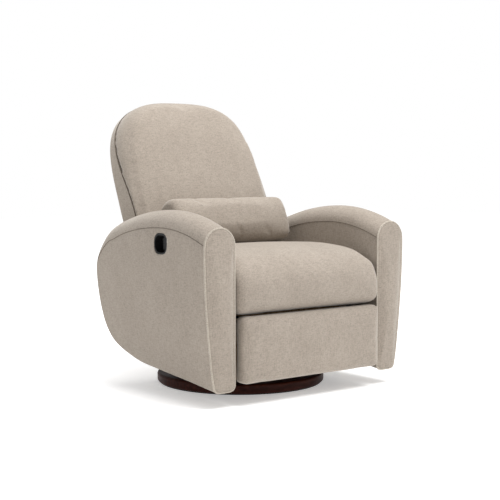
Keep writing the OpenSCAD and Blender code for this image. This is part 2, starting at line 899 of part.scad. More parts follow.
module footrest_board() {
    color(timber) box([-footrest_x + 14, -board_front - board_t, footrest_top - footrest_h + 10],
        [footrest_x - 14, -board_front, footrest_top - 10]);
}

module footrest_pad() {
    edge = 18;
    back = -board_front - board_t - fit_gap;
    color(fabric) intersection() {
        side_extrude(-footrest_x, 2 * footrest_x) hull() {
            translate([back - footrest_pad_t + edge, footrest_top - edge]) circle(edge);
            translate([back - footrest_pad_t + edge, footrest_top - footrest_h + edge]) circle(edge);
            translate([back - 6, footrest_top - footrest_h]) square([6, footrest_h]);
        }
        front_slab(back - footrest_pad_t, footrest_pad_t) hull() both()
            for (z = [footrest_top - edge, footrest_top - footrest_h + edge])
                translate([footrest_x - edge, z]) circle(edge);
    }
}

// ---------- back ----------
frame_n = 2;
frame_d = 38;
frame_low = back_low + 4;

module back_frame() {
    in = shell_t + 1;
    arch_z = back_high - arch_h;
    color(timber) on_back() {
        both() box([post_x, frame_n, frame_low], [back_r - in, frame_n + frame_d, arch_z]);
        box([fit_gap - layer_a, frame_n, frame_low], [layer_a - fit_gap, frame_n + frame_d, frame_low + frame_w]);
        box([fit_gap - post_x, frame_n, arch_z - frame_w], [post_x - fit_gap, frame_n + frame_d, arch_z]);
        both() brace(in, arch_z);
        box([-90, frame_n, back_high - 30 - frame_w], [90, frame_n + frame_d, back_high - 30]);
    }
}

// Short board that follows the arch between a side post and the top rail
module brace(in, arch_z) {
    translate([0, frame_n + frame_d, 0]) rotate([90, 0, 0]) linear_extrude(frame_d) polygon([
        [post_x, arch_z + fit_gap], [back_r - in - 6, arch_z + fit_gap],
        [back_r - in - 22, arch_z + 60], [back_r - in - 95, arch_z + 158], [110, back_high - 34],
        [90 + fit_gap, back_high - 34], [90 + fit_gap, back_high - 30 - frame_w],
        [back_r - in - 120, arch_z + 130]
    ]);
}

module back_webbing() {
    in = shell_t + 1;
    n = 6;
    step = (back_high - arch_h - back_low - 80) / n;
    color(black) on_back() for (i = [0 : n - 1])
        box([in + 4 - back_r, frame_n - 1.6, back_low + 60 + i * step],
            [back_r - in - 4, frame_n - fit_gap, back_low + 110 + i * step]);
}

module back_cushion() {
    edge = 22;
    front_n = seam_n - back_crown;
    color(fabric) union() {
        back_slab(0, back_low, seam_n, -seam_n - 0.5);
        back_slab(8, back_low + 6, seam_n - 14, 14);
        back_slab(edge, back_low + 16, seam_n - 26, 12);
        back_slab(edge + 26, back_low + 36, front_n, back_crown - 26);
    }
}

tail_t = 12;

// Rear panel and side boxing, with a curved tail that closes the gap behind the seat
module back_shell() {
    color(fabric) union() {
        difference() {
            back_slab(0, back_low, 0, rear_n);
            back_slab(shell_t, back_low - 10, -1, rear_n - shell_t + 1);
            bracket_slots();
        }
        side_extrude(-back_r, 2 * back_r) tail2d();
    }
}

module bracket_slots() {
    on_back() both() box([layer_a - 1, -1, 0], [layer_a + bar_t + 1, frame_n + frame_d, back_low + 2]);
}

// Points of the tail: it leaves the rear panel and bends down and inward, always inside the kick panel
module tail2d() {
    outer = [for (p = [[142, 145], [141, 95], [137, 50], [130, 0], [122, -44]]) p * (kick_r / 136)];
    inner = [for (i = [len(outer) - 1 : -1 : 1]) outer[i] - [tail_t, 0]];
    join = [[rear_n / cos(back_lean) + 58 - tail_t - 16, 130], [rear_n / cos(back_lean) + 64, 160]];
    translate([pivot_y, pivot_z]) polygon(concat(outer, inner, join));
}

module back_brackets() {
    color(steel) both() side_extrude(layer_a, bar_t - 1) difference() {
        translate([pivot_y, pivot_z]) rotate(-back_lean) {
            hull() {
                circle(17);
                translate([22, 30]) circle(12);
            }
            hull() for (v = [30, 130]) translate([22, v]) circle(12);
        }
        translate([pivot_y, pivot_z]) circle(back_pin_r + fit_gap);
    }
}

module back_pivots() {
    color(zinc) both() {
        x_pin(pivot_y, pivot_z, back_pin_r, plate_x - 6, layer_a + bar_t + 1);
        x_pin(pivot_y, pivot_z, back_pin_r + 4, plate_x - 6, plate_x - part_gap);
        x_pin(pivot_y, pivot_z, back_pin_r + 4, layer_a + bar_t - 1 + fit_gap, layer_a + bar_t + 3);
    }
}

pillow_x = 15;      // the pillow lies a little to one side
pillow_gap = 7;     // from the back's crown
pillow_rise = -11.9;  // its leaning heel just clears the seat

module lumbar_pillow() {
    r = pillow_t / 2;
    heel = 24;
    low_z = seat_h + pillow_rise + (r - heel) * sin(back_lean);
    low_y = back_plane_y(-back_crown + seam_n - pillow_gap - r, low_z);
    color(fabric) translate([pillow_x, low_y, low_z]) rotate([-back_lean, 0, 0])
        intersection() {
            translate([-pillow_w / 2, 0, 0]) rotate([90, 0, 90]) linear_extrude(pillow_w) hull() {
                translate([-r * 0.1, 34]) circle(34);
                translate([r - heel, heel + 2]) circle(heel);
                translate([0, pillow_h / 2]) circle(r);
                translate([0, pillow_h - 34]) circle(34);
            }
            translate([0, 200, 0]) rotate([90, 0, 0]) linear_extrude(400) hull() both() {
                translate([pillow_w / 2 - 30, 30]) circle(30);
                translate([pillow_w / 2 - 34, pillow_h - 34]) circle(34);
            }
        }
}

floor_pad();
base_disc();
swivel_lower_plate();
base_screws();
swivel_pin();
swivel_nut();
ball_cage();
bearing_balls();
swivel_upper_plate();
glider_frame();
glider_towers();
swivel_bolts();
glide_bumpers();
glide_upper_pins();
front_glide_links();
rear_glide_links();
side_plate_left();
side_plate_right();
glide_lower_pins();
seat_frame();
seat_springs();
seat_cushion();
arm_brackets();
kick_panel();
arm_frame_left();
arm_cover_left();
arm_facing_left();
arm_welt_left();
arm_frame_right();
arm_cover_right();
arm_facing_right();
arm_welt_right();
arm_bolts();
handle_cup();
release_paddle();
paddle_pin();
release_cable();
latch_bracket();
latch_pawl();
drive_tube();
front_swing_arms();
swing_springs();
rear_swing_pivots();
rear_swing_arms();
link_bars();
control_links();
footrest_brackets();
footrest_board();
footrest_pad();
back_frame();
back_webbing();
back_cushion();
back_shell();
back_brackets();
back_pivots();
lumbar_pillow();
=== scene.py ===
import bpy
import json
import numpy as np
from math import radians, sin, cos, tan, pi
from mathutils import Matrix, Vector


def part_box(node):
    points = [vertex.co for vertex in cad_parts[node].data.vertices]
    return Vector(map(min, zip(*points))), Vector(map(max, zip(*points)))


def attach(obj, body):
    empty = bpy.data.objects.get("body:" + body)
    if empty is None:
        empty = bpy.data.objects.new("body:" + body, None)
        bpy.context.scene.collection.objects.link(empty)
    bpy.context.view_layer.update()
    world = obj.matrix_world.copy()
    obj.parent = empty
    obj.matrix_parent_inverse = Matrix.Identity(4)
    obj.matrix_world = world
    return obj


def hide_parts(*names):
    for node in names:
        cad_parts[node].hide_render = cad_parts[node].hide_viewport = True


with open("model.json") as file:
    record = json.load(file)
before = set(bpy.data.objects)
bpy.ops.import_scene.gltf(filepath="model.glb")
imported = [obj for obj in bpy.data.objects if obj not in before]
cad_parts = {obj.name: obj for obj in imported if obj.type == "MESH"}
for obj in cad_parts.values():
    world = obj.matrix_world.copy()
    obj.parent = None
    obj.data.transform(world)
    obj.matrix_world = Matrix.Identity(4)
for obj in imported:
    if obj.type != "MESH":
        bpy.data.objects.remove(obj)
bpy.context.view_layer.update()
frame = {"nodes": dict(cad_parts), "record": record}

# ---------------------------------------------------------------- sizes, from the frame (metres)
SEAT_LOW, SEAT_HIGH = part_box("seat_cushion")
ARM_LOW, ARM_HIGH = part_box("arm_cover_right")
FACE_LOW, FACE_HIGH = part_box("arm_facing_right")
REST_LOW, REST_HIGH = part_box("footrest_pad")
KICK_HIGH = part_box("kick_panel")[1]
BACK_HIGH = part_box("back_cushion")[1]
CUP_LOW, CUP_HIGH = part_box("handle_cup")
PIVOT = np.array(next(j["pos_m"] for j in frame["record"]["behaviour"]["joints"] if j["name"] == "recline"))

ARM_IN, ARM_OUT = ARM_LOW[0], ARM_HIGH[0]
ARM_T = ARM_OUT - ARM_IN
ARM_TOP = ARM_HIGH[2]
ARM_FRONT = ARM_LOW[1]

# The back's own frame leans rearward about its pivot: v runs up along the back and n rearward from the pivot
BACK_LEAN = radians(22.3)
BACK_HALF = BACK_HIGH[0]
SEAM_N = -0.0186          # where the front cushion meets the boxing, low on the back
CROWN = 0.036             # how far the front cushion stands out before its seam
REAR_N = SEAM_N + 0.094   # rear panel
BACK_TOP_V = ((BACK_HIGH[2] - PIVOT[2]) + SEAM_N * sin(BACK_LEAN)) / cos(BACK_LEAN)
BACK_BOTTOM_V = 0.024
ARCH = 0.356              # height of the rounded top
ARCH_POWER = 3.1          # superellipse power of the rounded top

# Sewing, and the dark cords that paint seam shadow
SEAM_SHADE_R = 0.0013           # dark cords painting the shadow in the arms' seams
WELT_R = 0.0033
GAP = 0.001               # clearance of a padded piece inside its CAD box


# ---------------------------------------------------------------- materials
class Tree:
    """A material's node tree with short calls for the nodes used here."""

    def __init__(self, name):
        self.mat = bpy.data.materials.new(name)
        self.mat.use_nodes = True
        self.t = self.mat.node_tree
        self.bsdf = self.t.nodes["Principled BSDF"]
        self.coord = self.new("ShaderNodeTexCoord").outputs["Object"]

    def new(self, kind, **values):
        n = self.t.nodes.new(kind)
        for key, value in values.items():
            setattr(n, key, value)
        return n

    def link(self, a, b):
        self.t.links.new(a, b)

    def mapping(self, scale):
        m = self.new("ShaderNodeMapping")
        m.inputs["Scale"].default_value = scale
        self.link(self.coord, m.inputs["Vector"])
        return m.outputs["Vector"]

    def noise(self, scale, detail=2.0, rough=0.5, stretch=(1, 1, 1)):
        n = self.new("ShaderNodeTexNoise")
        n.inputs["Scale"].default_value = scale
        n.inputs["Detail"].default_value = detail
        n.inputs["Roughness"].default_value = rough
        self.link(self.mapping(stretch), n.inputs["Vector"])
        return n.outputs["Fac"]

    def ramp(self, fac, stops):
        r = self.new("ShaderNodeValToRGB")
        while len(r.color_ramp.elements) < len(stops):
            r.color_ramp.elements.new(0.5)
        for e, (pos, col) in zip(r.color_ramp.elements, stops):
            e.position = pos
            e.color = (*col, 1)
        self.link(fac, r.inputs["Fac"])
        return r.outputs["Color"]

    def math(self, op, a, b):
        m = self.new("ShaderNodeMath", operation=op)
        for i, v in enumerate((a, b)):
            if isinstance(v, (int, float)):
                m.inputs[i].default_value = v
            else:
                self.link(v, m.inputs[i])
        return m.outputs[0]

    def mix(self, a, b, fac, mode="MIX"):
        m = self.new("ShaderNodeMixRGB", blend_type=mode)
        for i, v in ((0, fac), (1, a), (2, b)):
            if isinstance(v, (int, float)):
                m.inputs[i].default_value = v
            elif isinstance(v, tuple):
                m.inputs[i].default_value = (*v, 1)
            else:
                self.link(v, m.inputs[i])
        return m.outputs[0]

    def bump(self, height, strength, distance, normal=None):
        b = self.new("ShaderNodeBump")
        b.inputs["Strength"].default_value = strength
        b.inputs["Distance"].default_value = distance
        self.link(height, b.inputs["Height"])
        if normal is not None:
            self.link(normal, b.inputs["Normal"])
        return b.outputs["Normal"]


def linear(rgb):
    """Linear colour of an 8-bit sRGB one."""
    return tuple((c / 255 / 12.92) if c <= 10 else ((c / 255 + 0.055) / 1.055) ** 2.4 for c in rgb)


def weave_material(name, base, depth=1.0):
    """Chenille-linen weave: crossed slub yarns, melange colour and a soft sheen."""
    t = Tree(name)
    across = t.noise(330, 3, 0.62, (0.20, 0.6, 1))
    along = t.noise(330, 3, 0.62, (1, 1, 0.20))
    deep = t.noise(330, 3, 0.62, (0.6, 0.20, 1))
    yarn = t.math("MULTIPLY", t.math("ADD", t.math("ADD", across, along), deep), 1 / 3)
    fibre = t.noise(900, 2, 0.6)
    blotch = t.noise(34, 4, 0.6, (1, 1, 0.6))
    cloud = t.noise(7, 3, 0.5)
    dark = tuple(c * 0.76 for c in base)
    light = tuple(min(1, c * 1.16) for c in base)
    yarns = t.ramp(yarn, [(0.38, dark), (0.50, base), (0.62, light)])
    mottle = t.ramp(blotch, [(0.30, (0.965, 0.962, 0.96)), (0.70, (1.03, 1.03, 1.03))])
    shade = t.ramp(cloud, [(0.30, (0.955, 0.95, 0.945)), (0.70, (1.035, 1.035, 1.035))])
    fleck = t.ramp(fibre, [(0.30, (0.92, 0.92, 0.92)), (0.70, (1.07, 1.07, 1.07))])
    colour = t.mix(yarns, mottle, 1.0, "MULTIPLY")
    colour = t.mix(colour, shade, 1.0, "MULTIPLY")
    colour = t.mix(colour, fleck, 1.0, "MULTIPLY")
    t.link(colour, t.bsdf.inputs["Base Color"])
    rough = t.ramp(yarn, [(0.3, (0.98,) * 3), (0.7, (0.86,) * 3)])
    t.link(rough, t.bsdf.inputs["Roughness"])
    t.bsdf.inputs["Specular IOR Level"].default_value = 0.25
    t.bsdf.inputs["Sheen Weight"].default_value = 0.35
    t.bsdf.inputs["Sheen Roughness"].default_value = 0.45
    t.bsdf.inputs["Sheen Tint"].default_value = (1, 0.97, 0.92, 1)
    n = t.bump(yarn, 0.55 * depth, 0.0016)
    n = t.bump(fibre, 0.35 * depth, 0.0005, n)
    n = t.bump(cloud, 0.25 * depth, 0.004, n)
    t.link(n, t.bsdf.inputs["Normal"])
    return t.mat


def wood_material(name, dark, mid, light, grain_axis, rough, coat):
    """Stained or raw timber with rings and pores drawn out along one axis."""
    t = Tree(name)
    stretch = [14, 14, 14]
    stretch[grain_axis] = 1.2
    rings = t.noise(6, 6, 0.62, tuple(stretch))
    pores = t.noise(60, 3, 0.7, tuple(s * 1.6 if s > 2 else 0.6 for s in stretch))
    wear = t.noise(9, 4, 0.5)
    colour = t.ramp(rings, [(0.28, dark), (0.5, mid), (0.74, light)])
    colour = t.mix(colour, t.ramp(pores, [(0.36, (0.62,) * 3), (0.52, (1.0,) * 3)]), 1.0, "MULTIPLY")
    t.link(colour, t.bsdf.inputs["Base Color"])
    t.link(t.ramp(wear, [(0.3, (rough - 0.06,) * 3), (0.7, (rough + 0.08,) * 3)]), t.bsdf.inputs["Roughness"])
    t.bsdf.inputs["Specular IOR Level"].default_value = 0.08
    t.bsdf.inputs["Coat Weight"].default_value = coat
    t.bsdf.inputs["Coat Roughness"].default_value = 0.22
    t.link(t.bump(pores, 0.22, 0.0004), t.bsdf.inputs["Normal"])
    return t.mat


def metal_material(name, colour, rough, metallic, grain=(1, 1, 1)):
    """Painted or plated metal with smears and a little dirt."""
    t = Tree(name)
    smear = t.noise(60, 4, 0.6, grain)
    dirt = t.noise(11, 4, 0.6)
    low = tuple(c * 0.8 for c in colour)
    t.link(t.ramp(dirt, [(0.3, low), (0.65, colour)]), t.bsdf.inputs["Base Color"])
    t.link(t.ramp(smear, [(0.3, (rough - 0.08,) * 3), (0.7, (rough + 0.1,) * 3)]), t.bsdf.inputs["Roughness"])
    t.bsdf.inputs["Metallic"].default_value = metallic
    t.link(t.bump(smear, 0.12, 0.0003), t.bsdf.inputs["Normal"])
    return t.mat


def plastic_material(name, colour, rough, grain_size, bump):
    """Moulded plastic or rubber with fine grain and hazy patches."""
    t = Tree(name)
    grain = t.noise(grain_size, 3, 0.6)
    haze = t.noise(16, 3, 0.5)
    lift = tuple(c * 1.5 + 0.004 for c in colour)
    t.link(t.ramp(haze, [(0.3, colour), (0.75, lift)]), t.bsdf.inputs["Base Color"])
    t.link(t.ramp(haze, [(0.3, (rough,) * 3), (0.7, (rough + 0.1,) * 3)]), t.bsdf.inputs["Roughness"])
    t.bsdf.inputs["Specular IOR Level"].default_value = 0.25
    t.link(t.bump(grain, bump, 0.0003), t.bsdf.inputs["Normal"])
    return t.mat


CLOTH = linear((151, 141, 130))
# the welt colour is the cloth's colour painted lighter: a painted highlight on the round welt cords
WELT_HIGHLIGHT = linear((170, 161, 149))
# the seam colour is the cloth's colour painted darker: painted shadow, laid as dark cords in the seams
SEAM_SHADE = linear((96, 86, 75))
MATS = {
    "upholstery": weave_material("woven_upholstery", CLOTH),
    "welt": weave_material("woven_welt_painted_highlight", WELT_HIGHLIGHT, 0.7),
    # painted shadow for the seams: darker cloth for the cords laid in them
    "seam": weave_material("painted_seam_shadow", SEAM_SHADE, 0.5),
    "base_wood": wood_material("walnut_stain", (0.014, 0.0025, 0.001), (0.032, 0.006, 0.003), (0.060, 0.014, 0.007),
                               0, 0.5, 0.03),
    "frame_wood": wood_material("raw_timber", (0.36, 0.22, 0.12), (0.52, 0.35, 0.20), (0.66, 0.48, 0.30),
                                2, 0.62, 0.0),
    "steel": metal_material("black_steel", (0.030, 0.030, 0.032), 0.42, 0.35),
    "zinc": metal_material("zinc_plate", (0.55, 0.56, 0.58), 0.34, 1.0, (1, 1, 8)),
    "rubber": plastic_material("black_rubber", (0.018, 0.018, 0.018), 0.72, 500, 0.3),
    "webbing": weave_material("elastic_webbing", (0.03, 0.03, 0.032), 1.2),
    "handle": plastic_material("gloss_black_handle", (0.004, 0.004, 0.004), 0.34, 900, 0.05),
    "cable": plastic_material("cable_sheath", (0.012, 0.012, 0.012), 0.5, 700, 0.15),
}


for part in frame["record"]["subparts"]:
    slots = frame["nodes"][part["node"]].data.materials
    slots.clear()
    slots.append(MATS[part["material_slot"]])


# ---------------------------------------------------------------- mesh helpers
def mesh_object(name, verts, faces, mat, body):
    mesh = bpy.data.meshes.new(name)
    mesh.from_pydata([tuple(map(float, v)) for v in verts], [], faces)
    mesh.validate()
    mesh.polygons.foreach_set("use_smooth", [True] * len(mesh.polygons))
    obj = bpy.data.objects.new(name, mesh)
    bpy.context.scene.collection.objects.link(obj)
    mesh.materials.append(mat)
    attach(obj, body)
    return obj


def resample(points, count, closed=True):
    """Points evenly spaced along a smooth closed or open curve through the given ones."""
    p = np.array(points, float)
    n = len(p)
    dense = []
    spans = n if closed else n - 1
    for i in range(spans):
        if closed:
            a, b, c, d = p[(i - 1) % n], p[i], p[(i + 1) % n], p[(i + 2) % n]
        else:
            a, b, c, d = p[max(i - 1, 0)], p[i], p[i + 1], p[min(i + 2, n - 1)]
        # centripetal Catmull-Rom keeps tight corners from looping
        t1 = max(np.linalg.norm(b - a), 1e-6) ** 0.5
        t2 = t1 + max(np.linalg.norm(c - b), 1e-6) ** 0.5
        t3 = t2 + max(np.linalg.norm(d - c), 1e-6) ** 0.5
        for t in np.linspace(t1, t2, 24, endpoint=False):
            a1 = (t1 - t) / t1 * a + t / t1 * b
            a2 = (t2 - t) / (t2 - t1) * b + (t - t1) / (t2 - t1) * c
            a3 = (t3 - t) / (t3 - t2) * c + (t - t2) / (t3 - t2) * d
            b1 = (t2 - t) / t2 * a1 + t / t2 * a2
            b2 = (t3 - t) / (t3 - t1) * a2 + (t - t1) / (t3 - t1) * a3
            dense.append((t2 - t) / (t2 - t1) * b1 + (t - t1) / (t2 - t1) * b2)
    if not closed:
        dense.append(p[-1])
    q = np.array(dense + ([dense[0]] if closed else []))
    step = np.r_[0, np.cumsum(np.linalg.norm(np.diff(q, axis=0), axis=1))]
    at = np.linspace(0, step[-1], count + (1 if closed else 0))
    out = np.stack([np.interp(at, step, q[:, k]) for k in range(q.shape[1])], axis=1)
    return out[:count]


def inward(outline):
    """Unit normals of a counter-clockwise closed 2D outline, pointing in."""
    d = np.roll(outline, -1, 0) - np.roll(outline, 1, 0)
    d /= np.linalg.norm(d, axis=1)[:, None]
    n = np.stack([-d[:, 1], d[:, 0]], axis=1)
    for _ in range(2):
        n = (np.roll(n, 1, 0) + 2 * n + np.roll(n, -1, 0)) / 4
    return n / np.linalg.norm(n, axis=1)[:, None]


def cap_shape(outline, inset, depth):
    """The inset as vectors and the depth as a column, from plain numbers or arrays."""
    inset = np.asarray(inset, float)
    if inset.ndim < 2:
        inset = inward(outline) * np.broadcast_to(inset, (len(outline),))[:, None]
    return inset, np.broadcast_to(np.asarray(depth, float), (len(outline),))[:, None]


def slab_rings(outline, w0, w1, inset0, inset1, depth0=None, depth1=None, crown0=0.0, crown1=0.0, pole=None,
               bulge=0.0, groove1=0.0, groove_w=0.0022, cap_rings=9, power=2.4, middle=4, turns=6):
    """Closed padded form: an outline, thick from w0 to w1, with rounded edges and crowned caps.

    Returns the rings as (points, w) pairs, from the pole of one cap out and back to the other's."""
    pole = outline.mean(0) if pole is None else np.array(pole)
    n = inward(outline)
    one = np.ones((len(outline), 1))

    def half(w, inset, depth, crown, groove, sign):
        edge = outline + inset
        rings = []
        for k in range(1, cap_rings + 1):
            rho = (k / cap_rings) ** 0.8
            rings.append((pole + (edge - pole) * rho, w * one + sign * crown * (1 - rho ** power)))
        if groove:
            rings[-1] = (edge + n * groove_w, w * one)
            rings.append((edge, w * one - sign * groove))
            rings.append((edge - n * groove_w, w * one))
        for k in range(1, turns + 1):
            a = pi / 2 * k / turns
            rings.append((outline + inset * (1 - sin(a)), w * one - sign * depth * (1 - cos(a))))
        return rings

    low = half(w0, *cap_shape(outline, inset0, inset0 if depth0 is None else depth0), crown0, 0.0, -1)
    high = half(w1, *cap_shape(outline, inset1, inset1 if depth1 is None else depth1), crown1, groove1, 1)[::-1]
    mid = []
    for k in range(1, middle + 1):
        f = k / (middle + 1)
        w = low[-1][1] * (1 - f) + high[0][1] * f
        mid.append((outline - n * bulge * 4 * f * (1 - f), w))
    return low + mid + high, ((pole, w0 - crown0), (pole, w1 + crown1))


def slab(name, outline, place, mat, body, slot, flip=False, **shape):
    """Padded form as an object: place puts each outline point and its w into the frame."""
    rings, poles = slab_rings(outline, **shape)
    count = len(outline)
    verts = []
    for pts, w in rings:
        verts += [place(p[0], p[1], float(q)) for p, q in zip(pts, w[:, 0])]
    first, last = len(verts), len(verts) + 1
    for (p, w) in poles:
        verts.append(place(p[0], p[1], w))
    faces = []
    for i in range(len(rings) - 1):
        for j in range(count):
            a, b = i * count + j, i * count + (j + 1) % count
            faces.append((a, b, b + count, a + count))
    base = (len(rings) - 1) * count
    for j in range(count):
        faces.append((j, first, (j + 1) % count))
        faces.append((base + j, base + (j + 1) % count, last))
    if flip:
        faces = [f[::-1] for f in faces]
    return mesh_object(name, verts, faces, mat, body)


def soften(obj):
    """One level of subdivision, seen and rendered."""
    m = obj.modifiers.new("subdivision", "SUBSURF")
    m.levels = m.render_levels = 1


def tube(name, path, radius, mat, body, closed=True, sides=10):
    """Round cord swept along a 3D path."""
    p = np.array(path, float)
    n = len(p)
    if closed:
        tan_ = np.roll(p, -1, 0) - np.roll(p, 1, 0)
    else:
        tan_ = np.gradient(p, axis=0)
    tan_ /= np.linalg.norm(tan_, axis=1)[:, None]
    u = np.cross(tan_[0], [0.31, 0.27, 0.91])
    u /= np.linalg.norm(u)
    verts = []
    for i in range(n):
        u = u - tan_[i] * np.dot(u, tan_[i])
        u /= np.linalg.norm(u)
        v = np.cross(tan_[i], u)
        for k in range(sides):
            a = 2 * pi * k / sides
            verts.append(p[i] + radius * (cos(a) * u + sin(a) * v))
    faces = []
    for i in range(n if closed else n - 1):
        shift = 0
        if closed and i == n - 1:
            first = np.array(verts[:sides])
            last_ring = np.array(verts[i * sides:(i + 1) * sides])
            shift = int(np.argmin([np.linalg.norm(np.roll(first, -s, 0) - last_ring) for s in range(sides)]))
        for k in range(sides):
            a, b = i * sides + k, i * sides + (k + 1) % sides
            j = (i + 1) % n
            c, d = j * sides + (k + 1 + shift) % sides, j * sides + (k + shift) % sides
            faces.append((a, b, c, d))
    if not closed:
        faces.append(tuple(range(sides))[::-1])
        faces.append(tuple((n - 1) * sides + k for k in range(sides)))
    return mesh_object(name, verts, faces, mat, body)


def inflate(obj, voxel, pressure, cap, free=(1, 1, 1), hold=None, frames=20):
    """Fills a padded piece with air by cloth simulation and keeps the result on its mesh.

    free scales the swelling along X, Y and Z, and hold gives each point's share of it."""
    rem = obj.modifiers.new("remesh", "REMESH")
    rem.mode = "VOXEL"
    rem.voxel_size = voxel
    rem.use_smooth_shade = True
    bake(obj)
    start = np.empty(len(obj.data.vertices) * 3)
    obj.data.vertices.foreach_get("co", start)
    start = start.reshape(-1, 3)
    cloth = obj.modifiers.new("cloth", "CLOTH")
    s = cloth.settings
    s.quality = 5
    s.mass = 0.4
    s.tension_stiffness = 18
    s.compression_stiffness = 18
    s.shear_stiffness = 8
    s.bending_stiffness = 0.6
    s.use_pressure = True
    s.uniform_pressure_force = pressure
    s.effector_weights.gravity = 0
    cloth.collision_settings.use_collision = False
    scene = bpy.context.scene
    for f in range(1, frames + 1):
        scene.frame_set(f)
    dg = bpy.context.evaluated_depsgraph_get()
    done = obj.evaluated_get(dg).to_mesh()
    end = np.empty(len(done.vertices) * 3)
    done.vertices.foreach_get("co", end)
    end = end.reshape(-1, 3)
    obj.evaluated_get(dg).to_mesh_clear()
    obj.modifiers.remove(cloth)
    scene.frame_set(1)
    move = (end - start) * np.array(free)
    if hold is not None:
        move *= hold(start)[:, None]
    dist = np.linalg.norm(move, axis=1)[:, None]
    keep = np.minimum(1, cap / np.maximum(dist, 1e-9))
    obj.data.vertices.foreach_set("co", (start + move * keep).ravel())
    obj.data.update()


def bake(obj):
    """Applies the object's modifiers to its mesh."""
    dg = bpy.context.evaluated_depsgraph_get()
    mesh = bpy.data.meshes.new_from_object(obj.evaluated_get(dg))
    obj.modifiers.clear()
    mesh.name = obj.name
    obj.data = mesh
    obj.data.polygons.foreach_set("use_smooth", [True] * len(obj.data.polygons))


def ease(x, a, b):
    """Smooth step from 0 at a to 1 at b."""
    t = np.clip((x - a) / (b - a), 0, 1)
    return t * t * (3 - 2 * t)


def polygon_area(p):
    x, y = p[:, 0], p[:, 1]
    return 0.5 * float(np.sum(x * np.roll(y, -1) - np.roll(x, -1) * y))


def strip(name, side, half, stations, body):
    """Cloth-covered panel of one section in (y, z), running across the chair, with its edges eased."""
    count = len(side)
    xs = np.linspace(-half, half, stations)
    verts = [(x, p[0], p[1]) for x in xs for p in side]
    faces = [(i * count + j, i * count + (j + 1) % count, (i + 1) * count + (j + 1) % count, (i + 1) * count + j)
             for i in range(stations - 1) for j in range(count)]
    faces.append(tuple(range(count))[::-1])
    faces.append(tuple((stations - 1) * count + j for j in range(count)))
    panel = mesh_object(name, verts, faces, MATS["upholstery"], body)
    bevel = panel.modifiers.new("edge", "BEVEL")
    bevel.width = 0.002
    bevel.segments = 2
    bevel.limit_method = "ANGLE"
    return panel


def rounded_rect(x0, x1, z0, z1, r, count):
    """Rounded rectangle's outline, with points kept close at its corners."""
    pts = []
    for cx, cz, a0 in ((x1 - r, z1 - r, 0), (x0 + r, z1 - r, 90), (x0 + r, z0 + r, 180), (x1 - r, z0 + r, 270)):
        pts += [(cx + r * cos(radians(a0 + a)), cz + r * sin(radians(a0 + a))) for a in (0, 22.5, 45, 67.5, 90)]
    out = []
    for i, p in enumerate(pts):
        out.append(p)
        q = pts[(i + 1) % len(pts)]
        if np.hypot(p[0] - q[0], p[1] - q[1]) > 0.05:
            out += [tuple(np.array(p) * (1 - f) + np.array(q) * f) for f in (0.08, 0.3, 0.5, 0.7, 0.92)]
    return resample(out, count)


# ---------------------------------------------------------------- arms
CREST_Y = -0.130                     # highest point of the arm
FRONT_ARC, REAR_ARC = 0.600, 0.914   # radii of its top line either side of that point
ROUND = ARM_T / 2                    # radius of its front arch
LEAN_IN = 0.034                      # how far its outer face leans in at the floor


def crest(y):
    """Height of the arm's top line."""
    arc = FRONT_ARC if y < CREST_Y else REAR_ARC
    return ARM_TOP - arc + (arc ** 2 - (y - CREST_Y) ** 2) ** 0.5


# Side outline of the arm below its crest, from the rear of the crest round to the bottom front, as (y, z)
ARM_REAR = [(0.160, 0.561), (0.198, 0.543), (0.228, 0.517), (0.250, 0.484), (0.265, 0.445), (0.272, 0.400),
            (0.271, 0.350), (0.265, 0.300), (0.254, 0.250), (0.237, 0.205), (0.203, 0.161), (0.158, 0.135),
            (0.098, 0.114), (0.034, 0.098), (-0.096, 0.084), (-0.245, 0.069), (ARM_FRONT + 0.0015, 0.0545)]
SHOULDER = crest(ARM_FRONT) - ROUND


def arm_outline():
    """Side outline at mid thickness, with points set close at the two square front corners."""
    top = [(y, crest(y)) for y in np.linspace(ARM_FRONT + 0.0015, 0.13, 12)]
    rim = resample(top + ARM_REAR, 150, closed=False)[::-1]
    high = crest(ARM_FRONT)
    front = [(ARM_FRONT, z) for z in np.r_[high - 0.0015, np.linspace(high - 0.010, SHOULDER, 6),
                                           np.linspace(SHOULDER - 0.03, 0.080, 14), 0.0600]]
    return np.vstack([rim, front])


def arm_edges(outline):
    """How far each rim point's rounding reaches in over the side, and how deep it turns."""
    y, z = outline[:, 0], outline[:, 1]
    top = ease(z, 0.40, 0.52) * (1 - 0.35 * ease(y, 0.17, 0.26))
    depth = 0.006 + (ROUND - 0.007) * top
    n = inward(outline)
    n[y < ARM_FRONT + 0.03] = (0, -1)
    n[(y < ARM_FRONT + 0.03) & (z < 0.3)] = (0, 1)
    down = ease(-y, -0.17, -0.08)[:, None] * ease(z, 0.45, 0.5)[:, None]
    n = n * (1 - down) + np.array([0, -1.0]) * down
    inset = n * depth[:, None]
    front = y < ARM_FRONT + 0.001
    arch = np.stack([0 * z[front], SHOULDER - z[front]], 1)
    inset[front] = np.where(z[front, None] > SHOULDER, arch, [[GAP, 0]])
    depth = np.where(front & (z <= SHOULDER), GAP, depth)
    return inset, depth


def lean_in(x, z):
    """The arm's outer face leans in towards the floor."""
    share = np.clip((x - ARM_IN) / ARM_T, 0, 1)
    return x - share * LEAN_IN * np.clip((0.43 - z) / 0.378, 0, 1) ** 1.5


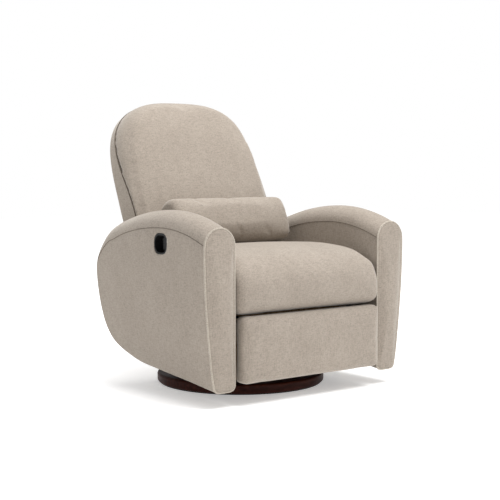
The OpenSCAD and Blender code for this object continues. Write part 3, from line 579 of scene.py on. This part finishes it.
def arm_pieces(sign, tag):
    """One arm's padded cover, with dark cords painting the shadow in its two side seams."""
    outline = arm_outline()
    inset, depth = arm_edges(outline)

    def place(y, z, w):
        return (sign * float(lean_in(ARM_IN + w, z)), y, z)

    arm = slab(f"arm_{tag}_upholstery", outline, place, MATS["upholstery"], "chassis", "upholstery", flip=sign < 0,
               w0=0.0, w1=ARM_T, inset0=inset, depth0=depth, inset1=inset, depth1=depth, crown0=0.0, crown1=0.004,
               pole=(-0.07, 0.34), cap_rings=12, middle=1, power=4)
    soften(arm)
    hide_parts(f"arm_cover_{tag}")
    # dark cords where the top strip joins the two side panels: painted shadow in these seams
    keep = (outline[:, 1] > 0.43) & (outline[:, 0] > ARM_FRONT + 0.001)
    edge = (outline + inset)[keep]
    edge = resample(edge[np.argsort(np.arctan2(edge[:, 1] - 0.2, edge[:, 0]))], 110, closed=False)
    for face, w in (("outer", ARM_T - 0.0002), ("inner", 0.0002)):
        tube(f"arm_{tag}_{face}_seam", [place(p[0], p[1], w) for p in edge], SEAM_SHADE_R, MATS["seam"], "chassis",
             closed=False, sides=8)
    return arm


def facing_outline(count=120, grow=0.0):
    """Front outline of an arm in (x, z): a round arch whose outer edge leans in below."""
    mid = ARM_IN + ARM_T / 2
    top_z = FACE_HIGH[2] - ROUND
    low = FACE_LOW[2]
    pts = [(mid + ROUND * cos(a), top_z + ROUND * sin(a)) for a in np.linspace(0, pi, 13)]
    pts += [(ARM_IN, z) for z in (0.44, 0.36, 0.26, 0.16, 0.10)]
    r = 0.017
    pts += [(ARM_IN + r - r * cos(a), low + r - r * sin(a)) for a in np.linspace(0, pi / 2, 4)]
    x1 = ARM_OUT - LEAN_IN
    pts += [(x1 - r + r * sin(a), low + r - r * cos(a)) for a in np.linspace(0, pi / 2, 4)]
    pts += [(float(lean_in(np.array(ARM_OUT), z)), z) for z in (0.11, 0.17, 0.24, 0.31, 0.38, 0.44)]
    out = resample(pts, count)
    return out - inward(out) * grow


def facing_pieces(sign, tag):
    """One arm's front panel, with the welt round it in the lighter welt cloth, a painted highlight, and a dark cord
    behind the welt that paints its seam's shadow.
    """
    outline = facing_outline()
    y_back = FACE_HIGH[1]
    y_front = FACE_LOW[1] + 0.003
    reach = y_back - y_front

    def place(x, z, w):
        return (sign * x, y_back - w, z)

    face = slab(f"arm_{tag}_front_panel", outline, place, MATS["upholstery"], "chassis", "upholstery", flip=sign < 0,
                w0=0.0, w1=reach - 0.006, inset0=0.001, inset1=0.010, depth1=0.008, crown1=0.013,
                pole=(ARM_IN + ARM_T * 0.45, 0.32), cap_rings=12, middle=1, power=2.2)
    soften(face)
    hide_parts(f"arm_facing_{tag}")
    path = [place(p[0], p[1], reach - 0.0112) for p in facing_outline(160, 0.0004)]
    welt = tube(f"arm_{tag}_welt_cord", path, WELT_R, MATS["welt"], "chassis", sides=12)
    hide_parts(f"arm_welt_{tag}")
    # dark cord behind the welt: painted shadow of its seam
    seam = [place(p[0], p[1], reach - 0.0150) for p in facing_outline(160, 0.0006)]
    tube(f"arm_{tag}_welt_seam_shade", seam, 0.0011, MATS["seam"], "chassis", sides=8)


def cut(obj, cutter):
    """Cuts one mesh out of another and leaves plain geometry."""
    m = obj.modifiers.new("cut", "BOOLEAN")
    m.operation = "DIFFERENCE"
    m.solver = "EXACT"
    m.object = cutter
    bake(obj)
    bpy.data.objects.remove(cutter)


def cup_pocket(arm):
    """Opening in the outer face around the release cup, just under its rim."""
    lap = 0.0022  # the rim's lap over the cloth
    cy, cz = (CUP_LOW[1] + CUP_HIGH[1]) / 2, (CUP_LOW[2] + CUP_HIGH[2]) / 2
    hy, hz = (CUP_HIGH[1] - CUP_LOW[1]) / 2 - lap, (CUP_HIGH[2] - CUP_LOW[2]) / 2 - lap
    ring = rounded_rect(cy - hy, cy + hy, cz - hz, cz + hz, 0.023, 64)
    xs = (CUP_LOW[0] - 0.02, CUP_HIGH[0] + 0.002)
    verts = [(x, p[0], p[1]) for x in xs for p in ring]
    n = len(ring)
    faces = [(j, (j + 1) % n, n + (j + 1) % n, n + j) for j in range(n)]
    faces += [tuple(range(n))[::-1], tuple(range(n, 2 * n))]
    mesh = bpy.data.meshes.new("pocket")
    mesh.from_pydata([tuple(map(float, v)) for v in verts], [], faces)
    cutter = bpy.data.objects.new("pocket", mesh)
    bpy.context.scene.collection.objects.link(cutter)
    cut(arm, cutter)


for sign, tag in ((-1, "left"), (1, "right")):
    arm = arm_pieces(sign, tag)
    if sign < 0:
        cup_pocket(arm)
    facing_pieces(sign, tag)


# ---------------------------------------------------------------- seat cushion
def seat_cushion():
    """Box cushion whose rear face follows the back and whose front rolls over, drooping at its sides."""
    low, high = SEAT_LOW, SEAT_HIGH
    front = low[1]
    top = high[2] - 0.008
    slope = tan(BACK_LEAN)
    rear_low = PIVOT[1] + (SEAM_N - CROWN - 0.0064) / cos(BACK_LEAN) + slope * (low[2] - PIVOT[2])
    rear = [(rear_low + slope * (z - low[2]) - 0.003, z) for z in (0.31, 0.36, 0.41, 0.455)]
    pts = rear + [(rear_low + slope * (0.47 - low[2]) - 0.016, top - 0.019), (0.05, top - 0.011),
                  (-0.06, top - 0.004), (-0.17, top), (-0.26, top - 0.004), (-0.325, top - 0.020),
                  (-0.367, top - 0.050), (-0.392, top - 0.090), (front + 0.001, 0.365), (front + 0.004, 0.325),
                  (front + 0.015, 0.298), (front + 0.040, low[2] + 0.0005), (-0.25, low[2]), (-0.10, low[2]),
                  (rear_low - 0.03, low[2]), (rear_low - 0.005, low[2] + 0.006)]
    outline = resample(pts, 150)
    y, z = outline[:, 0], outline[:, 1]
    is_top = ease(z, 0.42, 0.47)
    is_front = 1 - ease(y, front + 0.02, front + 0.12)
    r = 0.022 + 0.016 * is_top + 0.022 * is_top * (1 - ease(y, -0.36, -0.24)) + 0.006 * is_front
    half = high[0]
    side_back, side_drop = 0.010, 0.014

    def place(y, z, w):
        x = w - half
        sag = (abs(x) / half) ** 3
        top_share = float(ease(z, 0.40, 0.49))
        front_share = float(1 - ease(y, front + 0.01, front + 0.10)) * float(ease(z, 0.30, 0.36))
        return (x, y + side_back * sag * front_share, z - side_drop * sag * top_share)

    seat = slab("seat_cushion_upholstery", outline, place, MATS["upholstery"], "chassis", "upholstery",
                w0=0.0, w1=2 * half, inset0=r, inset1=r, pole=(-0.16, 0.385), cap_rings=8, middle=26)
    inflate(seat, 0.008, 3.0, 0.007, free=(0.0, 0.7, 0.3))
    soften(seat)
    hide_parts("seat_cushion")


seat_cushion()


# ---------------------------------------------------------------- footrest pad
def footrest_pad():
    """Thin padded board front, flat at the back where it lies on the board."""
    low, high = REST_LOW, REST_HIGH
    outline = rounded_rect(low[0] + GAP, high[0] - GAP, low[2] + GAP, high[2] - GAP, 0.016, 170)
    depth = high[1] - low[1] - 0.004

    def place(x, z, w):
        return (x, high[1] - w, z)

    pad = slab("footrest_upholstery", outline, place, MATS["upholstery"], "footrest", "upholstery",
               w0=0.0, w1=depth, inset0=0.004, inset1=0.014, crown1=0.004, pole=(0, (low[2] + high[2]) / 2),
               cap_rings=16, middle=3, power=5)
    inflate(pad, 0.007, 2.5, 0.006, free=(0.0, 1, 0.0))
    soften(pad)
    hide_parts("footrest_pad")


footrest_pad()


# ---------------------------------------------------------------- back
def on_back(x, v, n):
    """Point at x across, v up along the back and n rearward of its pivot line."""
    return (x, PIVOT[1] + n * cos(BACK_LEAN) + v * sin(BACK_LEAN),
            PIVOT[2] + v * cos(BACK_LEAN) - n * sin(BACK_LEAN))


def back_outline(count, inset=0.0):
    """Front outline of the back in (x, v): straight sides under a superellipse arch."""
    p = 2 / ARCH_POWER
    low = BACK_BOTTOM_V
    half = BACK_HALF - inset
    base = BACK_TOP_V - ARCH
    pts = []
    for a in np.radians(np.arange(0, 181, 6)):
        c, s = cos(a), sin(a)
        pts.append((half * np.sign(c) * abs(c) ** p, base + (ARCH - inset) * abs(s) ** p))
    r = 0.03
    levels = (0.12, 0.19, 0.26, 0.33)
    pts += [(-half, v) for v in levels[::-1]] + [(-half, low + r), (-half + r * 0.3, low + r * 0.3), (-half + r, low)]
    pts += [(x, low) for x in (-0.18, -0.06, 0.06, 0.18)]
    pts += [(half - r, low), (half - r * 0.3, low + r * 0.3), (half, low + r)] + [(half, v) for v in levels]
    return resample(pts, count)


def back_pieces():
    """Front cushion and shell, which meet on a seam that drifts rearward as it climbs, and the tail below."""
    outline = back_outline(170)
    high = ease(outline[:, 1], 0.30, 0.60)
    face_n = SEAM_N - CROWN + 0.012

    def seam_n(v):
        return SEAM_N + 0.058 * float(ease(v, 0.30, 0.66))

    def rise(v):
        return 0.008 * float(ease(v, 0.40, 0.66))

    def on_front(x, v, n):
        share = min(1, max(0, 1 - n / face_n))
        return on_back(x, v + rise(v), n + seam_n(v) * share)

    def on_shell(x, v, n):
        return on_back(x, v + rise(v), n + seam_n(v) * (1 - min(1, n / REAR_N)))

    front = slab("back_front_upholstery", outline, on_front, MATS["upholstery"], "back", "upholstery",
                 w0=face_n, w1=0.0001, inset0=0.034 + 0.012 * high, depth0=CROWN - 0.012 + 0.016 * high,
                 inset1=0.0002, crown0=0.012, pole=(0, 0.40), cap_rings=16, middle=2, power=3.2)
    inflate(front, 0.009, 3.0, 0.010, free=(0.15, 1, 0.6), hold=lambda p: 1 - ease(
        (p[:, 1] - PIVOT[1]) * cos(BACK_LEAN) - (p[:, 2] - PIVOT[2]) * sin(BACK_LEAN), -0.042, -0.026))
    soften(front)
    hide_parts("back_cushion")

    shell = slab("back_shell_upholstery", outline, on_shell, MATS["upholstery"], "back", "upholstery",
                 w0=0.0, w1=REAR_N, inset0=0.0002, inset1=0.014, crown1=0.003, pole=(0, 0.40), cap_rings=10, middle=4,
                 groove1=0.0015)
    soften(shell)
    # dark cord along the seam where the front cushion meets the shell: painted shadow in that seam
    seam = [on_back(p[0], p[1] + rise(p[1]), seam_n(p[1])) for p in back_outline(240, 0.0004)]
    tube("back_front_seam_shade", seam, 0.0016, MATS["seam"], "back", sides=8)

    # tail: cloth-covered panel that carries on down from the rear panel, curving under the seat
    line = [(REAR_N / cos(BACK_LEAN) + 0.058, 0.150), (0.139, 0.120), (0.140, 0.085), (0.137, 0.045), (0.131, 0.0),
            (0.123, -0.040)]
    outer = resample(line, 16, closed=False)
    inner = outer[::-1] - np.array([0.011, 0.0])
    side = np.vstack([outer, [(0.117, -0.0445)], inner[1:]]) + np.array([PIVOT[1], PIVOT[2]])
    side = side[::-1] if polygon_area(side) < 0 else side
    tail = strip("back_tail_upholstery", side, BACK_HALF - 0.002, 30, "back")
    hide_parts("back_shell")
    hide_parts("back_shell")


back_pieces()


# ---------------------------------------------------------------- kick panel behind the seat
def kick_panel():
    """Curved panel under the seat's rear edge, round the back's pivot."""
    r_in, r_out = 0.136, 0.1428
    angles = np.radians(np.linspace(-30.6, -74.4, 14))
    outer = [(PIVOT[1] + r_out * cos(a), PIVOT[2] + r_out * sin(a)) for a in angles]
    inner = [(PIVOT[1] + r_in * cos(a), PIVOT[2] + r_in * sin(a)) for a in angles[::-1]]
    panel = strip("kick_panel_upholstery", np.array(outer + inner), KICK_HIGH[0], 24, "chassis")
    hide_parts("kick_panel")


kick_panel()


# ---------------------------------------------------------------- lumbar pillow
def lumbar_pillow():
    """Bolster that leans on the back and rests on the seat."""
    low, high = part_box("lumbar_pillow")
    cx = (low[0] + high[0]) / 2
    length = high[0] - low[0] - 0.012
    height = 0.166
    thick = 0.104
    # outline in the pillow's own frame: n towards the back, v up along it
    pts = [(0.44, 0.08), (0.50, 0.24), (0.51, 0.50), (0.49, 0.76), (0.40, 0.93), (0.18, 1.0), (-0.10, 1.0),
           (-0.34, 0.94), (-0.46, 0.78), (-0.51, 0.52), (-0.49, 0.24), (-0.40, 0.07), (-0.16, 0.0), (0.08, 0.0),
           (0.30, 0.01)]
    outline = resample([(a * thick, (b - 0.5) * height) for a, b in pts], 96)
    middle = np.array([(low[1] + high[1]) / 2, (low[2] + high[2]) / 2 - 0.005])

    def place(n, v, w):
        end = abs(2 * w / length - 1)
        pull = 1 - 0.035 * end ** 6
        n2, v2 = n * pull, v * pull
        return (cx + w - length / 2, middle[0] + n2 * cos(BACK_LEAN) + v2 * sin(BACK_LEAN),
                middle[1] + v2 * cos(BACK_LEAN) - n2 * sin(BACK_LEAN))

    pillow = slab("lumbar_pillow_upholstery", outline, place, MATS["upholstery"], "pillow", "upholstery",
                  w0=0.0, w1=length, inset0=0.022, inset1=0.022, crown0=0.004, crown1=0.004, cap_rings=6, middle=26,
                  bulge=0.002)
    inflate(pillow, 0.007, 3.5, 0.008, free=(0.2, 0.9, 0.8))
    soften(pillow)
    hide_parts("lumbar_pillow")


lumbar_pillow()


# ---------------------------------------------------------------- studio
def studio():
    """White floor that glows, white surroundings, and two soft lamps from above."""
    floor = bpy.data.meshes.new("floor")
    s = 12.0
    floor.from_pydata([(-s, -s, 0), (s, -s, 0), (s, s, 0), (-s, s, 0)], [], [(0, 1, 2, 3)])
    obj = bpy.data.objects.new("studio_floor", floor)
    bpy.context.scene.collection.objects.link(obj)
    t = Tree("studio_floor")
    t.link(t.ramp(t.noise(0.6, 2), [(0.3, (0.90,) * 3), (0.7, (0.93,) * 3)]), t.bsdf.inputs["Base Color"])
    t.bsdf.inputs["Roughness"].default_value = 0.9
    # painted light: the floor glows, 0.36 within 0.4 m of the centre rising to 0.62 at 3.5 m, which washes out the
    # chair's shadow on it and lights the chair from below
    glow = t.new("ShaderNodeMapRange")
    spread = t.new("ShaderNodeVectorMath", operation="LENGTH")
    t.link(t.coord, spread.inputs[0])
    t.link(spread.outputs["Value"], glow.inputs["Value"])
    for key, value in (("From Min", 0.4), ("From Max", 3.5), ("To Min", 0.36), ("To Max", 0.62)):
        glow.inputs[key].default_value = value
    t.bsdf.inputs["Emission Color"].default_value = (1, 1, 1, 1)
    t.link(glow.outputs[0], t.bsdf.inputs["Emission Strength"])
    floor.materials.append(t.mat)

    world = bpy.data.worlds.new("studio")
    world.use_nodes = True
    bg = world.node_tree.nodes["Background"]
    nodes, links = world.node_tree.nodes, world.node_tree.links
    path = nodes.new("ShaderNodeLightPath")
    level = nodes.new("ShaderNodeMapRange")
    level.inputs["To Min"].default_value = 0.52
    level.inputs["To Max"].default_value = 1.0
    links.new(path.outputs["Is Camera Ray"], level.inputs["Value"])
    links.new(level.outputs[0], bg.inputs["Strength"])
    bg.inputs["Color"].default_value = (1, 1, 1, 1)
    bpy.context.scene.world = world

    def area(name, place, aim, size, power):
        light = bpy.data.lights.new(name, "AREA")
        light.shape = "DISK"
        light.size = size
        light.energy = power
        o = bpy.data.objects.new(name, light)
        o.location = place
        o.rotation_euler = (Vector(aim) - Vector(place)).to_track_quat("-Z", "Y").to_euler()
        bpy.context.scene.collection.objects.link(o)

    area("key", (0.5, -1.9, 4.2), (0, 0, 0.5), 2.4, 152)
    area("top", (0.1, 0.5, 4.2), (0, 0, 0.5), 2.6, 104)


def camera():
    """The photo's view, solved from the base disc and the arm fronts."""
    data = bpy.data.cameras.new("camera")
    data.sensor_width = 36
    data.lens = 84.87
    cam = bpy.data.objects.new("camera", data)
    cam.location = (-2.5125, -3.2421, 0.7469)
    forward = Vector((0.6174, 0.7835, -0.0707))
    cam.rotation_euler = forward.to_track_quat("-Z", "Y").to_euler()
    bpy.context.scene.collection.objects.link(cam)
    bpy.context.scene.camera = cam


studio()
camera()
bpy.context.scene.view_settings.view_transform = "Standard"
